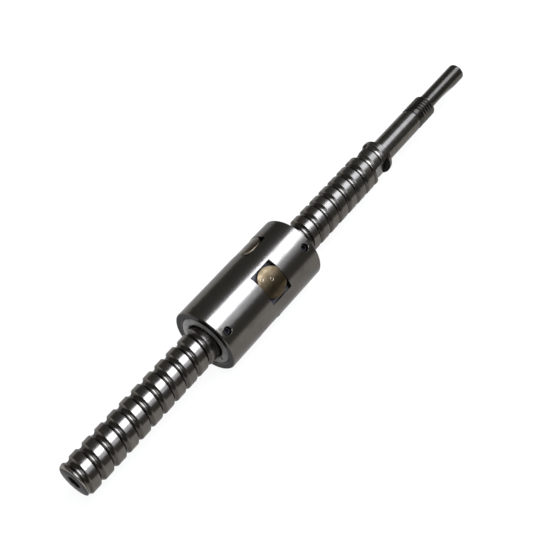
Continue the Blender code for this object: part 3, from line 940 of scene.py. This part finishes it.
def pocket_cutter():
    """A square pocket, and under it a round hole with two flats."""
    nut = settings("nut")
    sizes = settings("deflector")
    top = 2 * nut.radius
    half = nut.pocket_half_length
    half_width = nut.pocket_half_width
    form = add_cylinder("pocket", sizes.radius + sizes.clearance, 0, top, BUTTON_STEPS)
    low = (-2 * half, -half_width, nut.pocket_floor)
    square = add_box("pocket_square", low, (2 * half, half_width, top - PROUD))
    cut(form, square, "UNION")
    sides = add_box("pocket_sides", (-half, -top, -PROUD), (half, top, top + PROUD))
    cut(form, sides, "INTERSECT")
    return form


def screw_hole_cutter():
    """A set screw's hole, from inside a wiper's seat to its lead-in outside."""
    nut = settings("nut")
    radius = nut.screw_hole_radius
    bottom = nut.seat_radius - 0.3 * MM
    top = nut.radius
    lead_in = 0.22 * MM
    outline = [
        (-bottom, 0),
        (-bottom, radius),
        (-top + lead_in, radius),
        (-top - PROUD, radius + lead_in + PROUD),
        (-top - PROUD, 0),
    ]
    hole = turn_outline("screw_hole", outline, SCREW_HOLE_STEPS)
    place(hole, QUARTER_TURN)
    return hole


def nut_body():
    """The nut: a turned ring with a seat for a wiper at each end, four pockets and two screw holes."""
    nut = settings("nut")
    half = nut.half_length
    seat = half - nut.seat_depth
    mouth = 0.2 * MM
    edge = 0.06 * MM
    outline = [
        (half, nut.seat_radius + mouth),
        (half, nut.radius - nut.chamfer),
        (half - nut.chamfer, nut.radius),
        (-half + nut.chamfer, nut.radius),
        (-half, nut.radius - nut.chamfer),
        (-half, nut.seat_radius + mouth),
        (-half + mouth, nut.seat_radius),
        (-seat, nut.seat_radius),
        (-seat, nut.bore_radius),
        (seat, nut.bore_radius),
        (seat, nut.seat_radius),
        (half - mouth, nut.seat_radius),
    ]
    placed = [(nut.middle + x, radius) for x, radius in outline]
    body = turn_outline("nut", placed, NUT_STEPS, closed=True)
    pocket = pocket_cutter()
    for index in range(settings("deflector").count):
        cut(body, placed_copy(pocket, deflector_place(index)))
    remove(pocket)
    hole = screw_hole_cutter()
    for sign in (-1, 1):
        cut(body, placed_copy(hole, set_screw_place(sign)))
    remove(hole)
    break_edges(body, edge, degrees=35)
    return body


def ring_dent(along, across, top):
    """The cutter of a shallow ring-shaped dent in a button's top."""
    raised = 0.08 * MM
    deselect_all()
    bpy.ops.mesh.primitive_torus_add(
        location=(0, 0, top + raised),
        major_radius=0.5 * MM,
        minor_radius=0.14 * MM,
        major_segments=32,
        minor_segments=12,
    )
    ring = bpy.context.object
    ring.name = "ring_dent"
    place(ring, facing(UP_ANGLE - across / top, along) @ ring.matrix_world)
    return ring


def deflector():
    """A button with two flats on a square plate. Its top follows the nut and has two ring-shaped dents."""
    nut = settings("nut")
    sizes = settings("deflector")
    gap = sizes.clearance
    top = nut.radius - sizes.sink
    form = add_cylinder("deflector", sizes.radius, 0, nut.radius + PROUD, BUTTON_STEPS)
    crown = add_cylinder("crown", top, -nut.radius, nut.radius, CROWN_STEPS)
    place(crown, QUARTER_TURN)
    cut(form, crown, "INTERSECT")
    break_edges(form, sizes.rim, degrees=45, segments=4)

    half = nut.pocket_half_length - gap
    half_width = nut.pocket_half_width - gap
    wide = 2 * nut.pocket_half_length
    low = nut.pocket_floor + gap
    plate = add_box("deflector_plate", (-wide, -half_width, low), (wide, half_width, low + sizes.plate))
    cut(form, plate, "UNION")
    reach = nut.radius + 2 * PROUD
    sides = add_box("deflector_sides", (-half, -reach, -PROUD), (half, reach, reach))
    cut(form, sides, "INTERSECT")
    for along, across in RING_DENTS:
        cut(form, ring_dent(along, across, top))
    bore = add_cylinder("deflector_bore", nut.bore_radius, -reach, reach, BORE_STEPS)
    place(bore, QUARTER_TURN)
    cut(form, bore)
    return form


def wiper(sign):
    """A ring with a rounded lip, a groove round it and, at the free end, a slit."""
    nut = settings("nut")
    sizes = settings("wiper")
    top = nut.half_length - sizes.recess
    bottom = top - sizes.thickness
    groove = nut.half_length - nut.screw_place
    depth = sizes.groove_depth
    tip = 0.4 * MM
    lip = 0.25 * MM
    edge = 0.05 * MM
    outline = [
        (top - lip, sizes.bore_radius),
        (top, sizes.bore_radius + lip),
        (top, sizes.outer_radius - lip),
        (top - lip, sizes.outer_radius),
        (groove + tip + depth, sizes.outer_radius),
        (groove + tip, sizes.outer_radius - depth),
        (groove - tip, sizes.outer_radius - depth),
        (groove - tip - depth, sizes.outer_radius),
        (bottom, sizes.outer_radius),
        (bottom, sizes.bore_radius),
    ]
    placed = [(nut.middle + sign * x, radius) for x, radius in outline]
    ring = turn_outline("wiper", placed, WIPER_STEPS, closed=True)
    if sign < 0:
        width = sizes.slit_width / 2
        outer = sizes.bore_radius + sizes.slit_depth
        slit = add_box("slit", (-top - PROUD, -width, 0), (-bottom + PROUD, width, outer))
        place(slit, facing(sizes.slit_angle, nut.middle))
        cut(ring, slit)
    break_edges(ring, edge, degrees=40)
    return ring


def set_screw():
    """A cone-point set screw with a hexagon socket and turned threads, its head up."""
    sizes = settings("wiper")
    radius = sizes.screw_radius
    clear = 0.2 * MM
    flat = 0.3 * MM
    edge = 0.2 * MM
    ridge = 0.09 * MM
    pitch = 0.4 * MM
    socket_depth = 1.0 * MM
    tip = sizes.outer_radius - sizes.groove_depth + clear
    head = tip + sizes.screw_length
    start = tip + radius - flat
    outline = [(-tip, 0), (-tip, flat), (-start + ridge, radius - ridge)]
    for i in range(int((head - edge - start) / pitch)):
        along = -start - i * pitch
        outline.append((along - pitch / 4, radius))
        outline.append((along - pitch / 2, radius))
        outline.append((along - 0.9 * pitch, radius - ridge))
    outline += [(-head + edge, radius), (-head, radius - edge), (-head, 0)]
    screw = turn_outline("set_screw", outline, SET_SCREW_STEPS)
    place(screw, QUARTER_TURN)
    socket_radius = sizes.screw_socket / math.sqrt(3)
    socket = add_cylinder("socket", socket_radius, head - socket_depth, head + PROUD, sides=6)
    cut(screw, socket)
    return screw


# Stage


# The panels overhead: where each starts and ends along X and along Y in metres, and its radiance. A round
# surface shows each of them as one of its highlights.
PANELS = {
    "front": ((-1.60, -0.60), (-0.40, 0.20), 4.5),
    "near": ((-0.24, 0.22), (-0.40, 0.17), 17.0),
    "key": ((0.22, 0.54), (-0.40, 0.24), 17.0),
    "far": ((0.54, 1.10), (-0.40, 0.24), 4.3),
    "side": ((0.0, 0.60), (-1.02, -0.40), 3.0),
}

# How much of the floor that is seen is plain white, the rest being its real surface with its shadows
WHITE_SHARE = 0.93

# The fitted camera: its three directions, and its place from the shaft's free end
CAMERA_RIGHT = (0.60084, -0.79927, -0.0014)
CAMERA_UP = (0.64965, 0.48718, 0.5835)
CAMERA_BACK = (-0.4657, -0.3515, 0.8121)
CAMERA_PLACE = (-62.6 * MM, -114.24 * MM, 259.37 * MM)
# Width of its sensor in millimetres
SENSOR_WIDTH = 36


def shown_white(nodes, links, real, share):
    """Mixes a real surface with plain white light where the camera, metal or glass looks at it."""
    path = nodes.new("ShaderNodeLightPath")
    seen = path.outputs["Is Camera Ray"]
    for name in ("Is Glossy Ray", "Is Transmission Ray"):
        either = nodes.new("ShaderNodeMath")
        either.operation = "MAXIMUM"
        links.new(seen, either.inputs[0])
        links.new(path.outputs[name], either.inputs[1])
        seen = either.outputs[0]
    part = nodes.new("ShaderNodeMath")
    part.operation = "MULTIPLY"
    links.new(seen, part.inputs[0])
    part.inputs[1].default_value = share
    white = nodes.new("ShaderNodeEmission")
    white.inputs["Color"].default_value = (1, 1, 1, 1)
    white.inputs["Strength"].default_value = 1.0
    mix = nodes.new("ShaderNodeMixShader")
    links.new(part.outputs[0], mix.inputs["Fac"])
    links.new(real, mix.inputs[1])
    links.new(white.outputs[0], mix.inputs[2])
    return mix.outputs[0]


def add_floor():
    """A wide pale floor that the nut lies on."""
    stage = settings("stage")
    nut = settings("nut")
    deselect_all()
    bpy.ops.mesh.primitive_plane_add(size=stage.floor_width, location=(0, 0, -nut.radius))
    floor = bpy.context.object
    floor.name = "floor"
    bpy.ops.object.transform_apply(location=True, rotation=True, scale=True)
    material = bpy.data.materials.new("floor")
    material.use_nodes = True
    nodes, links = material.node_tree.nodes, material.node_tree.links
    shader = nodes["Principled BSDF"]
    shader.inputs["Base Color"].default_value = (*stage.floor_colour, 1)
    shader.inputs["Roughness"].default_value = 0.9
    seen = shown_white(nodes, links, shader.outputs[0], WHITE_SHARE)
    links.new(seen, nodes["Material Output"].inputs["Surface"])
    floor.data.materials.append(material)


def add_panel(name, along, across, radiance):
    """A soft panel overhead that looks straight down, between two places along X and two along Y."""
    stage = settings("stage")
    lamp = bpy.data.lights.new(name, "AREA")
    lamp.shape = "RECTANGLE"
    lamp.size = along[1] - along[0]
    lamp.size_y = across[1] - across[0]
    lamp.energy = radiance * math.pi * lamp.size * lamp.size_y
    lamp.color = stage.lamp_colour
    obj = bpy.data.objects.new(name, lamp)
    bpy.context.scene.collection.objects.link(obj)
    obj.location = (sum(along) / 2, sum(across) / 2, stage.lamp_height)


def add_world():
    stage = settings("stage")
    world = bpy.data.worlds.new("studio")
    bpy.context.scene.world = world
    world.use_nodes = True
    background = world.node_tree.nodes["Background"]
    background.inputs["Color"].default_value = (*stage.surroundings, 1)
    background.inputs["Strength"].default_value = 1.0


def add_camera():
    """The camera that was fitted to the photograph's groove notches."""
    stage = settings("stage")
    camera = bpy.data.cameras.new("camera")
    camera.lens = stage.lens
    camera.sensor_width = SENSOR_WIDTH
    camera.clip_start = 0.01
    camera.clip_end = 100
    obj = bpy.data.objects.new("camera", camera)
    bpy.context.scene.collection.objects.link(obj)
    directions = Matrix((CAMERA_RIGHT, CAMERA_UP, CAMERA_BACK)).transposed().to_4x4()
    free_end = Vector((-settings("shaft").thread_length, 0, 0))
    obj.matrix_world = Matrix.Translation(free_end + Vector(CAMERA_PLACE)) @ directions
    bpy.context.scene.camera = obj


class BallScrewOperator:
    """What the operators share"""

    bl_options = {"REGISTER", "UNDO"}


class BALLSCREW_OT_shaft(BallScrewOperator, bpy.types.Operator):
    """Model the shaft"""

    bl_idname = "ball_screw.shaft"
    bl_label = "Shaft"

    def execute(self, context):
        bar = join(shaft_bar(), journals())
        smooth(bar)
        dress(bar, "shaft", "screw", ground_steel(), "ground_steel", "screw_shaft")
        return {"FINISHED"}


class BALLSCREW_OT_nut(BallScrewOperator, bpy.types.Operator):
    """Model the nut's body"""

    bl_idname = "ball_screw.nut"
    bl_label = "Nut body"

    def execute(self, context):
        body = nut_body()
        smooth(body)
        apply_modifier(body, "WEIGHTED_NORMAL", keep_sharp=True)
        dress(body, "nut_shell", "nut", nut_steel(), "satin_steel", "nut_body")
        return {"FINISHED"}


class BALLSCREW_OT_deflectors(BallScrewOperator, bpy.types.Operator):
    """Model the four deflectors"""

    bl_idname = "ball_screw.deflectors"
    bl_label = "Deflectors"

    def execute(self, context):
        finish = deflector_bronze()
        pattern = deflector()
        for index in range(settings("deflector").count):
            number = index + 1
            button = placed_copy(pattern, deflector_place(index))
            smooth(button)
            dress(button, f"deflector_button_{number}", "nut", finish, "bronze", f"deflector_{number}")
        remove(pattern)
        return {"FINISHED"}


class BALLSCREW_OT_wipers(BallScrewOperator, bpy.types.Operator):
    """Model the wipers and their set screws"""

    bl_idname = "ball_screw.wipers"
    bl_label = "Wipers and set screws"

    def execute(self, context):
        resin = wiper_plastic()
        black = black_oxide()
        pattern = set_screw()
        for sign, end, body in ((-1, "free_end", "nut"), (1, "drive_end", "nut_carriage")):
            ring = wiper(sign)
            smooth(ring)
            dress(ring, f"wiper_ring_{end}", body, resin, "wiper_resin", f"wiper_{end}")
            screw = placed_copy(pattern, set_screw_place(sign))
            smooth(screw)
            dress(screw, f"set_screw_{end}", "nut", black, "black_oxide", f"wiper_set_screw_{end}")
        remove(pattern)
        return {"FINISHED"}


class BALLSCREW_OT_balls(BallScrewOperator, bpy.types.Operator):
    """Give the balls their finish"""

    bl_idname = "ball_screw.balls"
    bl_label = "Balls"

    def execute(self, context):
        finish = ball_steel()
        for name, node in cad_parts.items():
            if name.startswith("ball_"):
                node.data.materials.clear()
                node.data.materials.append(finish)
        return {"FINISHED"}


class BALLSCREW_OT_stage(BallScrewOperator, bpy.types.Operator):
    """Set up the floor, the lamps and the camera"""

    bl_idname = "ball_screw.stage"
    bl_label = "Stage"

    def execute(self, context):
        context.scene.view_settings.view_transform = "Standard"
        add_floor()
        add_world()
        for name, (along, across, radiance) in PANELS.items():
            add_panel(name, along, across, radiance)
        add_camera()
        return {"FINISHED"}


class BALLSCREW_PT_panel(bpy.types.Panel):
    bl_idname = "BALLSCREW_PT_panel"
    bl_label = "Ball screw"
    bl_space_type = "VIEW_3D"
    bl_region_type = "UI"
    bl_category = "Ball screw"

    def draw(self, context):
        for operator in OPERATORS:
            self.layout.operator(operator.bl_idname)
        for group in GROUPS:
            self.layout.label(text=group.replace("_", " ").capitalize())
            values = settings(group)
            for name in values.__annotations__:
                self.layout.prop(values, name)


OPERATORS = (
    BALLSCREW_OT_shaft,
    BALLSCREW_OT_nut,
    BALLSCREW_OT_deflectors,
    BALLSCREW_OT_wipers,
    BALLSCREW_OT_balls,
    BALLSCREW_OT_stage,
)
GROUPS = {
    "thread": ThreadSizes,
    "shaft": ShaftSizes,
    "nut": NutSizes,
    "deflector": DeflectorSizes,
    "wiper": WiperSizes,
    "colours": FinishColours,
    "stage": StageSettings,
}


def register():
    for group, kind in GROUPS.items():
        bpy.utils.register_class(kind)
        setattr(bpy.types.Scene, f"ball_screw_{group}", PointerProperty(type=kind))
    for kind in (*OPERATORS, BALLSCREW_PT_panel):
        bpy.utils.register_class(kind)


def unregister():
    for kind in (BALLSCREW_PT_panel, *reversed(OPERATORS)):
        bpy.utils.unregister_class(kind)
    for group, kind in GROUPS.items():
        delattr(bpy.types.Scene, f"ball_screw_{group}")
        bpy.utils.unregister_class(kind)


def main():
    register()
    bpy.ops.ball_screw.shaft()
    bpy.ops.ball_screw.nut()
    bpy.ops.ball_screw.deflectors()
    bpy.ops.ball_screw.wipers()
    bpy.ops.ball_screw.balls()
    bpy.ops.ball_screw.stage()


if __name__ == "__main__":
    main()
